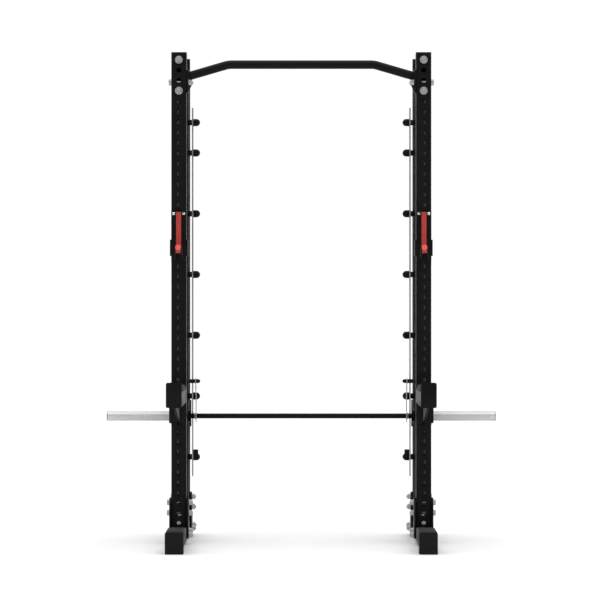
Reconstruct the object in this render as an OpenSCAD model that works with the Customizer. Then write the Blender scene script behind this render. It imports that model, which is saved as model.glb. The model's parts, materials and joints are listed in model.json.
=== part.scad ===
// Power cage with a guided bar, racking pegs, bar rests and safety arms.
// Millimetres, +Z up, front towards -Y, floor at Z = 0, origin under the middle of the cage.

/* [Cage] */
// Height from the floor to the top of the upright caps
cage_h = 2422; // [1950:1:2950]
// Distance between the centres of the left and right uprights
side_pitch = 1204; // [1000:1:1460]
// Distance between the centres of the front and rear uprights
depth_pitch = 450; // [400:1:560]

/* [Uprights] */
// Outside width of the square upright tube
post_w = 75; // [70:1:90]
// Wall of the upright tube
post_wall = 3; // [2:0.5:6]
// Outside corner radius of the tubes
tube_r = 6; // [4:0.5:10]
// Diameter of the accessory holes
hole_d = 25; // [16:0.5:30]
// Spacing of the accessory holes
hole_pitch = 50.8; // [45:0.1:62]
// Distance from the top of the cage to the first hole
hole_top = 37.2; // [35:0.1:45]
// Lowest height at which an accessory hole is drilled
hole_low = 149; // [140:1:200]
// Thickness of the upright end cap above the tube
cap_t = 4; // [2:0.5:8]

/* [Base] */
// Clearance between the floor and the base rail
rail_gap = 18; // [12:1:24]
// Height of the base rail tube
rail_h = 70; // [60:1:84]
// Wall of the base rail tube
rail_wall = 4; // [3:0.5:6]
// Reach of the front boot ahead of the front uprights
base_front = 589; // [480:1:700]
// Reach of the rear boot behind the rear uprights
base_rear = 165; // [130:1:200]
// Length of a front boot
boot_len = 300; // [220:1:360]
// Length of a rear boot
rear_boot_len = 96; // [80:1:120]
// Side wall of the rubber boots around the rail
boot_wall = 6.5; // [4:0.5:14]
// Height of the boots
boot_h = 106; // [96:1:130]
// Thickness of the boot wall over the end of the rail
boot_end = 12; // [8:1:20]
// Length of the pad of the boot that stands on the floor
boot_pad = 60; // [40:1:80]
// Thickness of the foot plates and of the pull-up bar plates
plate_t = 10; // [6:1:12]
// Length of the foot plates along the base rail
foot_plate_len = 95; // [85:1:120]
// Height of the top edge of the foot plates
foot_plate_top = 229; // [215:1:260]
// Lower edge of the foot plates above the floor
foot_plate_low = 30; // [20:1:34]

/* [Fasteners] */
// Diameter of the frame bolts
bolt_d = 16; // [12:1:18]
// Width across flats of the frame bolt heads and nuts
bolt_af = 24; // [19:1:27]
// Height of the frame bolt heads
bolt_head = 10; // [7:0.5:12]
// Height of the frame nuts
nut_h = 13; // [10:0.5:15]
// Length of bolt past its nut
bolt_end = 5; // [2:0.5:10]
// Thickness of the washers
washer_t = 3; // [2:0.5:4]
// Radial room around a bolt in its hole
bolt_room = 0.4; // [0.2:0.1:1]
// Height of the lower cross bolts through the foot plates and the rail
low_bolt_z = 46; // [40:1:60]
// Distance of the rear boot bolt from the end of the boot
boot_bolt_in = 50; // [36:1:64]
// Height of the rear boot bolt above the lower cross bolts
boot_bolt_rise = 5; // [0:1:10]
// Height of the first cross bolt of an upright
foot_bolt_z = 154.5; // [140:0.5:165]
// Spacing of the two cross bolts of an upright
foot_bolt_pitch = 51.5; // [40:0.5:56]
// Diameter of the round washers of the top ties
tie_washer_d = 38; // [32:1:44]

/* [Top ties and pull-up bar] */
// Height of the top tie tube
tie_h = 116; // [90:1:124]
// Width of the top tie tube
tie_w = 60; // [50:1:66]
// Diameter of the pull-up bar
pull_d = 42.4; // [32:0.1:48]
// Wall of the pull-up bar
pull_wall = 3; // [2:0.5:5]
// Distance of the bar's centre line below the top of the cage
pull_drop = 59; // [50:1:90]
// Half length of the straight middle of the bar
pull_half = 359; // [280:1:420]
// Distance that the bar falls from the middle to its ends
pull_fall = 60; // [30:1:80]
// Height of the pull-up bar end plate
pull_plate_h = 112; // [95:1:130]
// Half the distance between the two bolts of a pull-up plate
pull_bolt_half = 22.4; // [21:0.1:23]
// How far those bolts lie below the end of the pull-up bar
pull_bolt_drop = 28.5; // [28:0.5:34]

/* [Guides and racking pegs] */
// Diameter of the guide rods
rod_d = 30; // [25:1:35]
// Distance of the guide rods behind the front face of the cage
rod_depth = 180; // [170:1:190]
// Distance of the guided bar behind the front face of the cage
bar_depth = 250; // [245:1:252]
// Distance of the racking pegs behind the front face of the cage
peg_depth = 312; // [311:1:318]
// Diameter of the racking pegs
peg_d = 36.6; // [28:0.1:38]
// Length of a racking peg from the catch plate to its tip
peg_len = 34; // [26:0.5:36]
// Height of the lowest racking peg
peg_low = 416; // [380:1:480]
// Spacing of the racking pegs
peg_pitch = 304.8; // [290:0.1:330]
// Thickness of the catch plate
catch_t = 6; // [4:0.5:8]
// Width of the catch plate
catch_w = 74; // [60:1:74]
// Length of the spacers between catch plate and catch post
spacer_len = 18; // [15:0.5:24]
// Diameter of the spacers
spacer_d = 28; // [24:1:34]
// Width of the catch post
catch_post_w = 40; // [36:1:50]
// Depth of the catch post
catch_post_d = 44; // [40:1:44]

/* [Guided bar] */
// Diameter of the bar's shaft
shaft_d = 25; // [20:0.5:28]
// Radial running clearance of the bushes
run_gap = 0.05; // [0.02:0.01:0.1]
// Outside diameter of the sleeves
sleeve_d = 50; // [44:1:52]
// Length of a sleeve
sleeve_len = 320; // [240:1:400]
// Gap between the uprights' outer side and the sleeve
sleeve_gap = 12.9; // [11:0.1:20]
// Height of the carriage block
carriage_h = 140; // [120:1:168]
// Outside diameter of the linear bushes
lin_bush_d = 45; // [40:1:46]
// Outside diameter of the shaft bearings
bearing_d = 42; // [36:1:42]
// Thickness of the hook plate
hook_t = 4; // [3:0.5:8]
// Distance of the hook plate inside the catch plate
hook_gap = 14; // [10:0.5:16]
// Vertical distance from the bar to the peg that it hangs on
hook_drop = 97.5; // [95:0.1:110]
// Angle that the bar turns through to hook on
hook_turn = 24; // [23:0.5:26]
// Room between a peg and the hook's jaw
hook_room = 2.5; // [1:0.1:4]
// Extra slot behind the seated peg, in degrees about the bar
hook_slack = 3; // [1:0.5:6]
// Diameter of the hook's handle
handle_d = 21; // [18:0.5:24]
// Length of the hook's handle
handle_len = 58; // [44:1:60]
// Height of the handle above the bar
handle_rise = 176; // [168:1:182]
// Distance of the handle ahead of the bar
handle_fore = 70; // [68:1:80]

/* [Bar rests and safety arms] */
// Gap between an accessory and the upright that carries it
seat_gap = 0.5; // [0.4:0.1:1]
// Radial room of an accessory pin in its hole
pin_room = 1; // [0.5:0.1:2]
// Length of an accessory pin inside the upright
pin_len = 55; // [40:1:62]
// Number of the upright hole, from the lowest, that takes a bar rest's upper pin
rest_hole = 29; // [24:1:31]
// Width of the bar rest's coloured core
core_w = 24; // [20:1:32]
// Reach of the bar rest ahead of its back plate
rest_reach = 108; // [90:1:130]
// Diameter of the rounded nose of the bar rest
nose_d = 27; // [22:0.5:30]
// Thickness of the bar rest's plates
rest_t = 6; // [4:0.5:8]
// Number of the upright hole, from the lowest, that takes a safety arm's upper pin
arm_hole = 12; // [12:1:14]
// Reach of the safety arm ahead of the front uprights
arm_reach = 617; // [500:1:740]
// Height of the safety arm's tube
arm_h = 70; // [60:1:76]
// Height of the wear pad on top of the arm
pad_h = 28; // [16:1:36]
// Length of the cage end of the arm over which the pad slopes down
pad_slope = 277; // [120:1:400]
// Height of the safety arm's end lip
lip_h = 119.5; // [100:0.5:140]
// Thickness of the safety arm's end lip
lip_t = 10; // [8:1:14]
// Thickness of the sliding stop that sits on the lowest peg
stop_t = 18; // [12:1:24]

/* [Hidden] */
$fn = 64;
over = 1;                                    // overlap of a cut past a face
black = "#1c1d20";
silver = "#a9acb0";
steel = "#c6c9cc";
red = "#ab3e3a";
rubber = "#17181a";
bronze = "#b08d57";
side_x = side_pitch / 2;
post_in = side_x - post_w / 2;               // inner face of the uprights
post_out = side_x + post_w / 2;              // outer face of the uprights
rear_reach = post_w + depth_pitch + base_rear;
face_y = (arm_reach - rear_reach) / 2;       // front face of the front uprights
front_y = face_y + post_w / 2;
rear_y = front_y + depth_pitch;
rail_top = rail_gap + rail_h;
post_top = cage_h - cap_t;
hole_n = floor((cage_h - hole_top - hole_low) / hole_pitch) + 1;
function hole_z(i) = cage_h - hole_top - (hole_n - 1 - i) * hole_pitch;
tie_z1 = (hole_z(hole_n - 1) + hole_z(hole_n - 4) + tie_h) / 2;
tie_z0 = tie_z1 - tie_h;
peg_above = 72;                              // catch plate above its highest peg
peg_below = 96;                              // catch plate below its lowest peg
peg_n = floor((tie_z0 - peg_above - peg_pitch / 2 - peg_low) / peg_pitch) + 1;
peg_zs = concat([for (i = [0 : peg_n - 1]) peg_low + i * peg_pitch],
    [peg_low + (peg_n - 0.5) * peg_pitch]);
peg_y = face_y + peg_depth;
bar_y = face_y + bar_depth;
rod_y = face_y + rod_depth;
bar_z = peg_low + peg_pitch - hook_drop;
catch_x1 = post_in + 1 - spacer_len;         // outer face of the catch plate
catch_x0 = catch_x1 - catch_t;
catch_post_x0 = post_in + 1;
hook_x1 = catch_x0 - hook_gap;
hook_x0 = hook_x1 - hook_t;
peg_r = peg_d / 2;
hook_fore = peg_depth - bar_depth;
hook_r = norm([hook_fore, hook_drop]);
hook_a = atan2(hook_fore, hook_drop) - hook_turn;   // jaw behind the vertical, unhooked
slot_a = hook_a - hook_slack;                // closed end of the slot
sleeve_x0 = post_out + sleeve_gap;
block_w = 50;                                // carriage block across the cage
block_y0 = rod_y - lin_bush_d / 2 - 8;
block_y1 = bar_y + bearing_d / 2 + 9;
boss_d = 52;                                 // carriage boss around the bar
carriage_in = catch_x1 + 2.5;                // inner face of the carriage plate
carriage_out = sleeve_x0 - 2.5;
bearing_w = 15;
mount_h = 40;                                // guide rod mount
mount_w = 60;
mount_len = 80;
flange_t = 8;
flange_len = 84;
screw_d = 10;
rest_z = hole_z(rest_hole);
rest_low_z = hole_z(rest_hole - 4);
arm_z = hole_z(arm_hole);
arm_low_z = hole_z(arm_hole - 2);
pin_d = hole_d - 2 * pin_room;

// ---- shared shapes ----

// children on the right for 1, mirrored to the left for -1
module on_side(s) { if (s > 0) children(); else mirror([1, 0, 0]) children(); }

module both_sides() for (s = [-1, 1]) on_side(s) children();

module rounded_rect(w, h, r) {
    square([w - 2 * r, h], center = true);
    square([w, h - 2 * r], center = true);
    for (x = [-1, 1], y = [-1, 1]) translate([x * (w / 2 - r), y * (h / 2 - r)]) circle(r);
}

module tube_2d(w, h, wall, r) difference() {
    rounded_rect(w, h, r);
    rounded_rect(w - 2 * wall, h - 2 * wall, max(r - wall, 0.5));
}

// round rod, hole or ring along X from x0, at the given place in Y and Z
module rod_x(x0, len, d, y, z) translate([x0, y, z]) rotate([0, 90, 0]) cylinder(h = len, d = d);

module ring_x(x0, len, d, bore, y, z) difference() {
    rod_x(x0, len, d, y, z);
    rod_x(x0 - over, len + 2 * over, bore, y, z);
}

// round rod or hole along Y from y0
module rod_y_axis(y0, len, d, x, z) translate([x, y0, z]) rotate([-90, 0, 0]) cylinder(h = len, d = d);

// bar between two points of a flat shape, with round ends
module link_2d(p, q, w) {
    a = atan2(q[1] - p[1], q[0] - p[0]);
    translate(p) circle(d = w);
    translate(q) circle(d = w);
    translate(p) rotate(a) translate([0, -w / 2]) square([norm(q - p), w]);
}

// flat shape drawn in Y and Z, made t thick along X from x0
module flat_x(x0, t) translate([x0, 0, 0]) rotate([90, 0, 90]) linear_extrude(t) children();

// bolt along -X: washer and head outside of x1, shank len long
module bolt_x(x1, len, d, af, head) {
    rod_x(x1 - len, len + washer_t, d, 0, 0);
    translate([x1 + washer_t, 0, 0]) rotate([0, 90, 0]) cylinder(h = head, d = af / cos(30), $fn = 6);
    ring_x(x1, washer_t, 1.25 * af, d, 0, 0);
}

// nut and its washer inside of x0, on a bolt along X
module nut_x(x0, d, af, h) difference() {
    union() {
        rod_x(x0 - washer_t, washer_t, 1.25 * af, 0, 0);
        translate([x0 - washer_t - h, 0, 0]) rotate([0, 90, 0]) cylinder(h = h, d = af / cos(30), $fn = 6);
    }
    rod_x(x0 - washer_t - h - over, washer_t + h + 2 * over, d, 0, 0);
}

// ---- base ----

boot_w = post_w + 2 * boot_wall;
rail_y0 = face_y - base_front + boot_end;
rail_y1 = face_y + rear_reach - boot_end;
// places of the cross bolts through foot plates and rail, and through the rail alone
low_bolt_ys = [front_y, peg_y, rear_y];
boot_bolt_y = face_y + rear_reach - boot_bolt_in;
boot_bolt_z = low_bolt_z + boot_bolt_rise;
foot_bolt_zs = [foot_bolt_z, foot_bolt_z + foot_bolt_pitch];

module base_rail() color(black) difference() {
    translate([side_x, rail_y0, rail_gap + rail_h / 2]) rotate([-90, 0, 0])
        linear_extrude(rail_y1 - rail_y0) tube_2d(post_w, rail_h, rail_wall, tube_r);
    for (y = low_bolt_ys)
        rod_x(post_in - over, post_w + 2 * over, bolt_d + 2 * bolt_room, y, low_bolt_z);
    rod_x(post_in - over, post_w + 2 * over, bolt_d + 2 * bolt_room, boot_bolt_y, boot_bolt_z);
    for (p = mount_places) for (dy = [-1, 1])
        translate([p[0], p[1] + dy * p[2], rail_top - rail_wall - over])
            cylinder(h = rail_wall + 2 * over, d = screw_d + 2 * bolt_room);
}

// shoe over one end of the rail, its pad on the floor at y = 0
module boot(len) color(rubber) difference() {
    union() {
        intersection() {
            translate([0, 0, boot_h / 2]) rotate([-90, 0, 0])
                linear_extrude(len) rounded_rect(boot_w, boot_h, 10);
            translate([-boot_w, -over, 2 * rail_gap]) cube([2 * boot_w, len + 2 * over, boot_h]);
        }
        translate([-boot_w / 2, 0, 0]) cube([boot_w, boot_pad, boot_h / 2]);
    }
    translate([0, boot_end, rail_gap + rail_h / 2]) rotate([-90, 0, 0])
        linear_extrude(len) rounded_rect(post_w, rail_h, tube_r);
    translate([-post_w / 2, boot_pad, -over]) cube([post_w, len, rail_gap + rail_h / 2]);
}

module front_boot() translate([side_x, face_y - base_front, 0]) boot(boot_len);

module rear_boot() color(rubber) difference() {
    translate([side_x, face_y + rear_reach, 0]) rotate(180) boot(rear_boot_len);
    rod_x(side_x - boot_w / 2 - over, boot_w + 2 * over, bolt_d + 2 * bolt_room, boot_bolt_y, boot_bolt_z);
}

// one plate on each side of an upright and of the rail under it
module foot_plates() color(black) for (y = [front_y, rear_y]) difference() {
    for (x = [post_in - plate_t, post_out]) flat_x(x, plate_t) polygon([
        [y - foot_plate_len / 2, foot_plate_low], [y + foot_plate_len / 2, foot_plate_low],
        [y + foot_plate_len / 2, foot_plate_top - 28], [y + foot_plate_len / 2 - 28, foot_plate_top],
        [y - foot_plate_len / 2 + 28, foot_plate_top], [y - foot_plate_len / 2, foot_plate_top - 28]]);
    for (z = concat([low_bolt_z], foot_bolt_zs))
        rod_x(post_in - plate_t - over, post_w + 2 * plate_t + 2 * over, bolt_d + 2 * bolt_room, y, z);
}

grip = post_w + 2 * plate_t;                 // what a foot bolt clamps
foot_bolt_len = grip + washer_t + nut_h + bolt_end;

module foot_bolt_places() both_sides() {
    for (y = [front_y, rear_y], z = concat([low_bolt_z], foot_bolt_zs)) translate([0, y, z]) children();
}

module foot_bolts() color(silver) {
    foot_bolt_places() bolt_x(post_out + plate_t, foot_bolt_len, bolt_d, bolt_af, bolt_head);
    both_sides() translate([0, peg_y, low_bolt_z])
        bolt_x(post_out, post_w + washer_t + nut_h + bolt_end, bolt_d, bolt_af, bolt_head);
    both_sides() translate([0, boot_bolt_y, boot_bolt_z])
        bolt_x(side_x + boot_w / 2, boot_w + washer_t + nut_h + bolt_end, bolt_d, bolt_af, bolt_head);
}

module foot_nuts() color(silver) {
    foot_bolt_places() nut_x(post_in - plate_t, bolt_d, bolt_af, nut_h);
    both_sides() translate([0, peg_y, low_bolt_z]) nut_x(post_in, bolt_d, bolt_af, nut_h);
    both_sides() translate([0, boot_bolt_y, boot_bolt_z]) nut_x(side_x - boot_w / 2, bolt_d, bolt_af, nut_h);
}

foot_screw_z = rail_top + 18;

// screw in the front of each front upright, just above the rail
module front_foot_screws() color(silver) both_sides() {
    rod_y_axis(face_y - 2, post_wall + 12, screw_d, side_x, foot_screw_z);
    translate([side_x, face_y - 9, foot_screw_z]) rotate([-90, 0, 0])
        cylinder(h = 7, d = 16 / cos(30), $fn = 6);
    difference() {
        rod_y_axis(face_y - 2, 2, 20, side_x, foot_screw_z);
        rod_y_axis(face_y - 3, 4, screw_d, side_x, foot_screw_z);
    }
}

// ---- uprights ----

module upright_blank(y) difference() {
    translate([side_x, y, rail_top]) linear_extrude(post_top - rail_top)
        tube_2d(post_w, post_w, post_wall, tube_r);
    for (z = foot_bolt_zs)
        rod_x(post_in - over, post_w + 2 * over, bolt_d + 2 * bolt_room, y, z);
}

pull_bolt_z = cage_h - pull_drop - pull_fall - pull_bolt_drop;
pull_bolt_ys = [front_y - pull_bolt_half, front_y + pull_bolt_half];

module front_upright() color(black) difference() {
    upright_blank(front_y);
    for (i = [0 : hole_n - 1])
        rod_y_axis(face_y - over, post_w + 2 * over, hole_d, side_x, hole_z(i));
    for (y = pull_bolt_ys)
        rod_x(post_in - over, post_w + 2 * over, bolt_d + 2 * bolt_room, y, pull_bolt_z);
    rod_y_axis(face_y - over, post_wall + 2 * over, screw_d + 2 * bolt_room, side_x, foot_screw_z);
}

// holes for the tie bolts from front to back, the rest from side to side
module rear_upright() color(black) difference() {
    upright_blank(rear_y);
    for (z = tie_bolt_zs)
        rod_y_axis(rear_y - post_w / 2 - over, post_w + 2 * over, hole_d, side_x, z);
    for (i = [3 : hole_n - 5])
        rod_x(post_in - over, post_w + 2 * over, hole_d, rear_y, hole_z(i));
}

module upright_caps() color(rubber) both_sides() for (y = [front_y, rear_y])
    translate([side_x, y, 0]) {
        translate([0, 0, post_top]) linear_extrude(cap_t) rounded_rect(post_w, post_w, tube_r);
        translate([0, 0, post_top - 18]) linear_extrude(18)
            tube_2d(post_w - 2 * post_wall, post_w - 2 * post_wall, 2.5, tube_r - post_wall);
    }

// ---- top ties ----

tie_y0 = front_y + post_w / 2;
tie_y1 = rear_y - post_w / 2;
tie_bolt_zs = [hole_z(hole_n - 4), hole_z(hole_n - 1)];
tie_flange_z0 = tie_bolt_zs[0] - 32;
tie_flange_h = tie_bolt_zs[1] + 32 - tie_flange_z0;

module top_tie() color(black) difference() {
    union() {
        translate([side_x, tie_y0, (tie_z0 + tie_z1) / 2]) rotate([-90, 0, 0])
            linear_extrude(tie_y1 - tie_y0) tube_2d(tie_w, tie_h, post_wall, tube_r);
        for (y = [tie_y0, tie_y1 - flange_t])
            translate([post_in, y, tie_flange_z0]) cube([post_w, flange_t, tie_flange_h]);
    }
    for (z = tie_bolt_zs) rod_y_axis(tie_y0 - over, tie_y1 - tie_y0 + 2 * over, hole_d, side_x, z);
    for (p = mount_places) for (dy = [-1, 1])
        translate([p[0], p[1] + dy * p[2], tie_z0 - over])
            cylinder(h = post_wall + 2 * over, d = screw_d + 2 * bolt_room);
}

tie_shank_d = hole_d - 2 * bolt_room;
tie_nut_h = 10;

// shank, round washer and button head, pointing to +Y from y0
module tie_bolt(y0) translate([side_x, y0, 0]) rotate([-90, 0, 0]) {
    translate([0, 0, -washer_t]) cylinder(h = washer_t + post_w + flange_t + tie_nut_h + 2, d = tie_shank_d);
    difference() {
        translate([0, 0, -washer_t]) cylinder(h = washer_t, d = tie_washer_d);
        translate([0, 0, -washer_t - over]) cylinder(h = washer_t + 2 * over, d = tie_shank_d);
    }
    difference() {
        translate([0, 0, -washer_t - 7]) cylinder(h = 7, d1 = 26, d2 = 32);
        translate([0, 0, -washer_t - 8]) cylinder(h = 5, d = 14 / cos(30), $fn = 6);
    }
}

module tie_nut(y0) translate([side_x, y0, 0]) rotate([-90, 0, 0]) difference() {
    cylinder(h = tie_nut_h, d = 36 / cos(30), $fn = 6);
    translate([0, 0, -over]) cylinder(h = tie_nut_h + 2 * over, d = tie_shank_d);
}

// front bolts point back, rear bolts point forward
module tie_bolts() color(silver) both_sides() for (z = tie_bolt_zs) translate([0, 0, z]) {
    tie_bolt(face_y);
    translate([0, 2 * face_y + depth_pitch + post_w, 0]) mirror([0, 1, 0]) tie_bolt(face_y);
}

module tie_nuts() color(silver) both_sides() for (z = tie_bolt_zs) translate([0, 0, z]) {
    tie_nut(tie_y0 + flange_t);
    tie_nut(tie_y1 - flange_t - tie_nut_h);
}

// ---- pull-up bar ----

pull_z = cage_h - pull_drop;
pull_end_x = post_in - plate_t;
pull_a = atan2(pull_fall, post_in - pull_half);
pull_plate_z1 = pull_z - pull_fall + 33;

weld_step = 0.2;                             // ends are this much slimmer than the middle

module pull_ring(step) difference() {
    circle(d = pull_d - step);
    circle(d = pull_d - 2 * pull_wall + step);
}

// half space inside (-1) or outside (1) of the mitre at the bar's right bend
module mitre(side) translate([pull_half, front_y, pull_z]) rotate([0, pull_a / 2, 0])
    translate([side > 0 ? 0 : -2 * side_pitch, -post_w, -cage_h / 4])
        cube([2 * side_pitch, 2 * post_w, cage_h / 2]);

module pull_up_bar() color(black) {
    intersection() {
        translate([-pull_half - pull_d, front_y, pull_z]) rotate([0, 90, 0])
            linear_extrude(2 * (pull_half + pull_d)) pull_ring(0);
        mitre(-1);
        mirror([1, 0, 0]) mitre(-1);
    }
    both_sides() intersection() {
        translate([pull_half, front_y, pull_z]) rotate([0, 90 + pull_a, 0])
            translate([0, 0, -pull_d]) linear_extrude(post_in) pull_ring(weld_step);
        mitre(1);
        translate([0, front_y - post_w, 0]) cube([pull_end_x, 2 * post_w, cage_h]);
    }
}

module pull_up_plates() color(black) both_sides() difference() {
    union() {
        flat_x(pull_end_x, plate_t) translate([front_y, pull_plate_z1 - pull_plate_h / 2])
            rounded_rect(post_w, pull_plate_h, 8);
        translate([pull_end_x, front_y - 3, 0]) rotate([90, 0, 180]) linear_extrude(6) polygon([
            [0, pull_plate_z1 - pull_plate_h + 8], [0, pull_z - pull_fall - pull_d / 2 - 4],
            [22, pull_z - pull_fall - pull_d / 2 - 4]]);
    }
    for (y = pull_bolt_ys)
        rod_x(pull_end_x - over, plate_t + 2 * over, bolt_d + 2 * bolt_room, y, pull_bolt_z);
}

module pull_up_bolts() color(silver) both_sides() for (y = pull_bolt_ys)
    translate([0, y, pull_bolt_z])
        bolt_x(post_out, post_w + plate_t + washer_t + nut_h + bolt_end, bolt_d, bolt_af, bolt_head);

module pull_up_nuts() color(silver) both_sides() for (y = pull_bolt_ys)
    translate([0, y, pull_bolt_z]) nut_x(pull_end_x, bolt_d, bolt_af, nut_h);

// ---- guide rods ----

// x, y and half screw spacing of each foot on the rail and under the tie, on the right
mount_places = [[side_x, rod_y, mount_len / 2 - 12],
    [catch_post_x0 + catch_post_w / 2, peg_y, flange_len / 2 - 9]];

module guide_rod() color(steel)
    translate([side_x, rod_y, rail_top]) cylinder(h = tie_z0 - rail_top, d = rod_d);

module rod_mounts() color(black) both_sides() for (z = [rail_top, tie_z0 - mount_h])
    difference() {
        translate([side_x, rod_y, z]) linear_extrude(mount_h) rounded_rect(mount_w, mount_len, 6);
        translate([side_x, rod_y, z - over]) cylinder(h = mount_h + 2 * over, d = rod_d);
        for (dy = [-1, 1]) translate([side_x, rod_y + dy * mount_places[0][2], z - over])
            cylinder(h = mount_h + 2 * over, d = screw_d);
    }

// screw up through a foot of thickness t, with a round head under it
module foot_screw(t) {
    translate([0, 0, -t - 10]) cylinder(h = 10, d = 1.6 * screw_d);
    translate([0, 0, -t]) cylinder(h = t + post_wall, d = screw_d);
}

module mount_screws() color(silver) both_sides() for (i = [0, 1], dy = [-1, 1]) {
    p = mount_places[i];
    t = i == 0 ? mount_h : flange_t;
    translate([p[0], p[1] + dy * p[2], tie_z0]) foot_screw(t);
    translate([p[0], p[1] + dy * p[2], rail_top]) mirror([0, 0, 1]) foot_screw(t);
}

// ---- catch posts, plates and pegs ----

module catch_post() color(black) difference() {
    union() {
        translate([catch_post_x0 + catch_post_w / 2, peg_y, rail_top])
            linear_extrude(tie_z0 - rail_top) tube_2d(catch_post_w, catch_post_d, post_wall, 4);
        for (z = [rail_top, tie_z0 - flange_t])
            translate([catch_post_x0, peg_y - flange_len / 2, z])
                cube([catch_post_w, flange_len, flange_t]);
    }
    for (z = peg_zs) rod_x(catch_post_x0 - over, catch_post_w + 2 * over, bolt_d + 2 * bolt_room, peg_y, z);
    for (z = [rail_top, tie_z0 - flange_t], dy = [-1, 1])
        translate([catch_post_x0 + catch_post_w / 2, peg_y + dy * mount_places[1][2], z - over])
            cylinder(h = flange_t + 2 * over, d = screw_d);
}

module catch_plate() color(silver) difference() {
    translate([catch_x0, peg_y - catch_w / 2, peg_low - peg_below])
        cube([catch_t, catch_w, peg_zs[peg_n] + peg_above - peg_low + peg_below]);
    for (z = peg_zs) rod_x(catch_x0 - over, catch_t + 2 * over, bolt_d + 2 * bolt_room, peg_y, z);
}

stud_len = catch_t + spacer_len + catch_post_w + washer_t + nut_h + bolt_end;

module catch_pegs() color(black) both_sides() for (z = peg_zs) {
    rod_x(catch_x0, stud_len, bolt_d, peg_y, z);
    rod_x(catch_x0 - peg_len + peg_r, peg_len - peg_r, peg_d, peg_y, z);
    intersection() {
        translate([catch_x0 - peg_len + peg_r, peg_y, z]) sphere(d = peg_d);
        translate([catch_x0 - peg_len - over, peg_y - peg_r - over, z - peg_r - over])
            cube([peg_len - over, peg_d + 2 * over, peg_d + 2 * over]);
    }
}

module peg_spacers() color(silver) both_sides() for (z = peg_zs)
    ring_x(catch_x1, spacer_len, spacer_d, bolt_d, peg_y, z);

module peg_nuts() color(silver) both_sides() for (z = peg_zs)
    translate([2 * (catch_post_x0 + catch_post_w), peg_y, z]) mirror([1, 0, 0])
        nut_x(catch_post_x0 + catch_post_w, bolt_d, bolt_af, nut_h);

// ---- carriages ----

module carriage() color(black) difference() {
    union() {
        translate([side_x - block_w / 2, block_y0, bar_z - carriage_h / 2])
            cube([block_w, block_y1 - block_y0, carriage_h]);
        rod_x(carriage_in, carriage_out - carriage_in, boss_d, bar_y, bar_z);
        flat_x(carriage_in, 4.5) translate([bar_y, bar_z + 14.5]) rounded_rect(boss_d, 133, 8);
        rod_x(carriage_in, 10, 11, bar_y - 12, bar_z - 29 - 11);
        flat_x(carriage_out - 6, 6) translate([bar_y, bar_z]) rounded_rect(boss_d, 92, 8);
    }
    rod_x(carriage_in - over, carriage_out - carriage_in + 2 * over, shaft_d + 2, bar_y, bar_z);
    for (x = [side_x - block_w / 2 - over, side_x + block_w / 2 - bearing_w])
        rod_x(x, bearing_w + over, bearing_d, bar_y, bar_z);
    translate([side_x, rod_y, bar_z - carriage_h / 2 - over])
        cylinder(h = carriage_h + 2 * over, d = rod_d + 4);
    for (z = bush_zs) translate([side_x, rod_y, z]) cylinder(h = bush_len + over, d = lin_bush_d);
}

bush_len = 45;
bush_zs = [bar_z - carriage_h / 2 - over, bar_z + carriage_h / 2 - bush_len];

module linear_bushes() color(bronze) both_sides()
    for (z = [bar_z - carriage_h / 2, bar_z + carriage_h / 2 - bush_len])
        translate([side_x, rod_y, z]) difference() {
            cylinder(h = bush_len, d = lin_bush_d);
            translate([0, 0, -over]) cylinder(h = bush_len + 2 * over, d = rod_d + 2 * run_gap);
        }

module bar_bearings() color(steel) both_sides()
    for (x = [side_x - block_w / 2, side_x + block_w / 2 - bearing_w])
        ring_x(x, bearing_w, bearing_d, shaft_d + 2 * run_gap, bar_y, bar_z);

// ---- guided bar ----

shaft_end = sleeve_x0 + sleeve_len - 17;

module bar_shaft() color(black) rod_x(-shaft_end, 2 * shaft_end, shaft_d, bar_y, bar_z);

hub_d = 64;
jaw_wall = 15;

// hook outline about the bar's axis, jaw open to the back
module hook_2d() difference() {
    union() {
        circle(d = hub_d);
        link_2d([0, 0], hook_r * [sin(slot_a), cos(slot_a)], 44);
        translate(hook_r * [sin(slot_a), cos(slot_a)]) circle(peg_r + hook_room + jaw_wall);
        link_2d([0, hook_r * 0.7], [-handle_fore, handle_rise], 30);
        translate([-handle_fore, handle_rise]) circle(d = 34);
    }
    circle(d = shaft_d);
    translate([-handle_fore, handle_rise]) circle(d = 10);
    translate(hook_r * [sin(slot_a), cos(slot_a)]) circle(peg_r + hook_room);
    intersection() {
        difference() {
            circle(hook_r + peg_r + hook_room);
            circle(hook_r - peg_r - hook_room);
        }
        rotate(-slot_a) square(2 * hook_r);
    }
    translate([hook_fore - peg_r - 6, -hook_r]) square([hook_r, 3 * hook_r]);
}

module hook() color(black) {
    translate([0, bar_y, bar_z]) flat_x(hook_x0, hook_t) hook_2d();
    ring_x(hook_x1, 8, 30, shaft_d, bar_y, bar_z);
}

handle_x1 = catch_x1 + 13;

module hook_handle() color(rubber) {
    y = bar_y - handle_fore;
    z = bar_z + handle_rise;
    difference() {
        union() {
            rod_x(handle_x1 - handle_len + handle_d / 2, handle_len - handle_d / 2, handle_d, y, z);
            translate([handle_x1 - handle_len + handle_d / 2, y, z]) sphere(d = handle_d);
        }
        rod_x(hook_x0, hook_t, handle_d + 2 * over, y, z);
    }
    rod_x(hook_x0, hook_t, 10, y, z);
}

// ---- sleeves ----

sleeve_bore = 34;
bush_w = 40;
cap_plug = 12;

module sleeve() color(silver)
    ring_x(sleeve_x0, sleeve_len - cap_plug / 2, sleeve_d, sleeve_bore, bar_y, bar_z);

module sleeve_bushes() color(bronze)
    for (x = [sleeve_x0, sleeve_x0 + sleeve_len - 30 - bush_w])
        ring_x(x, bush_w, sleeve_bore, shaft_d + 2 * run_gap, bar_y, bar_z);

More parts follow.
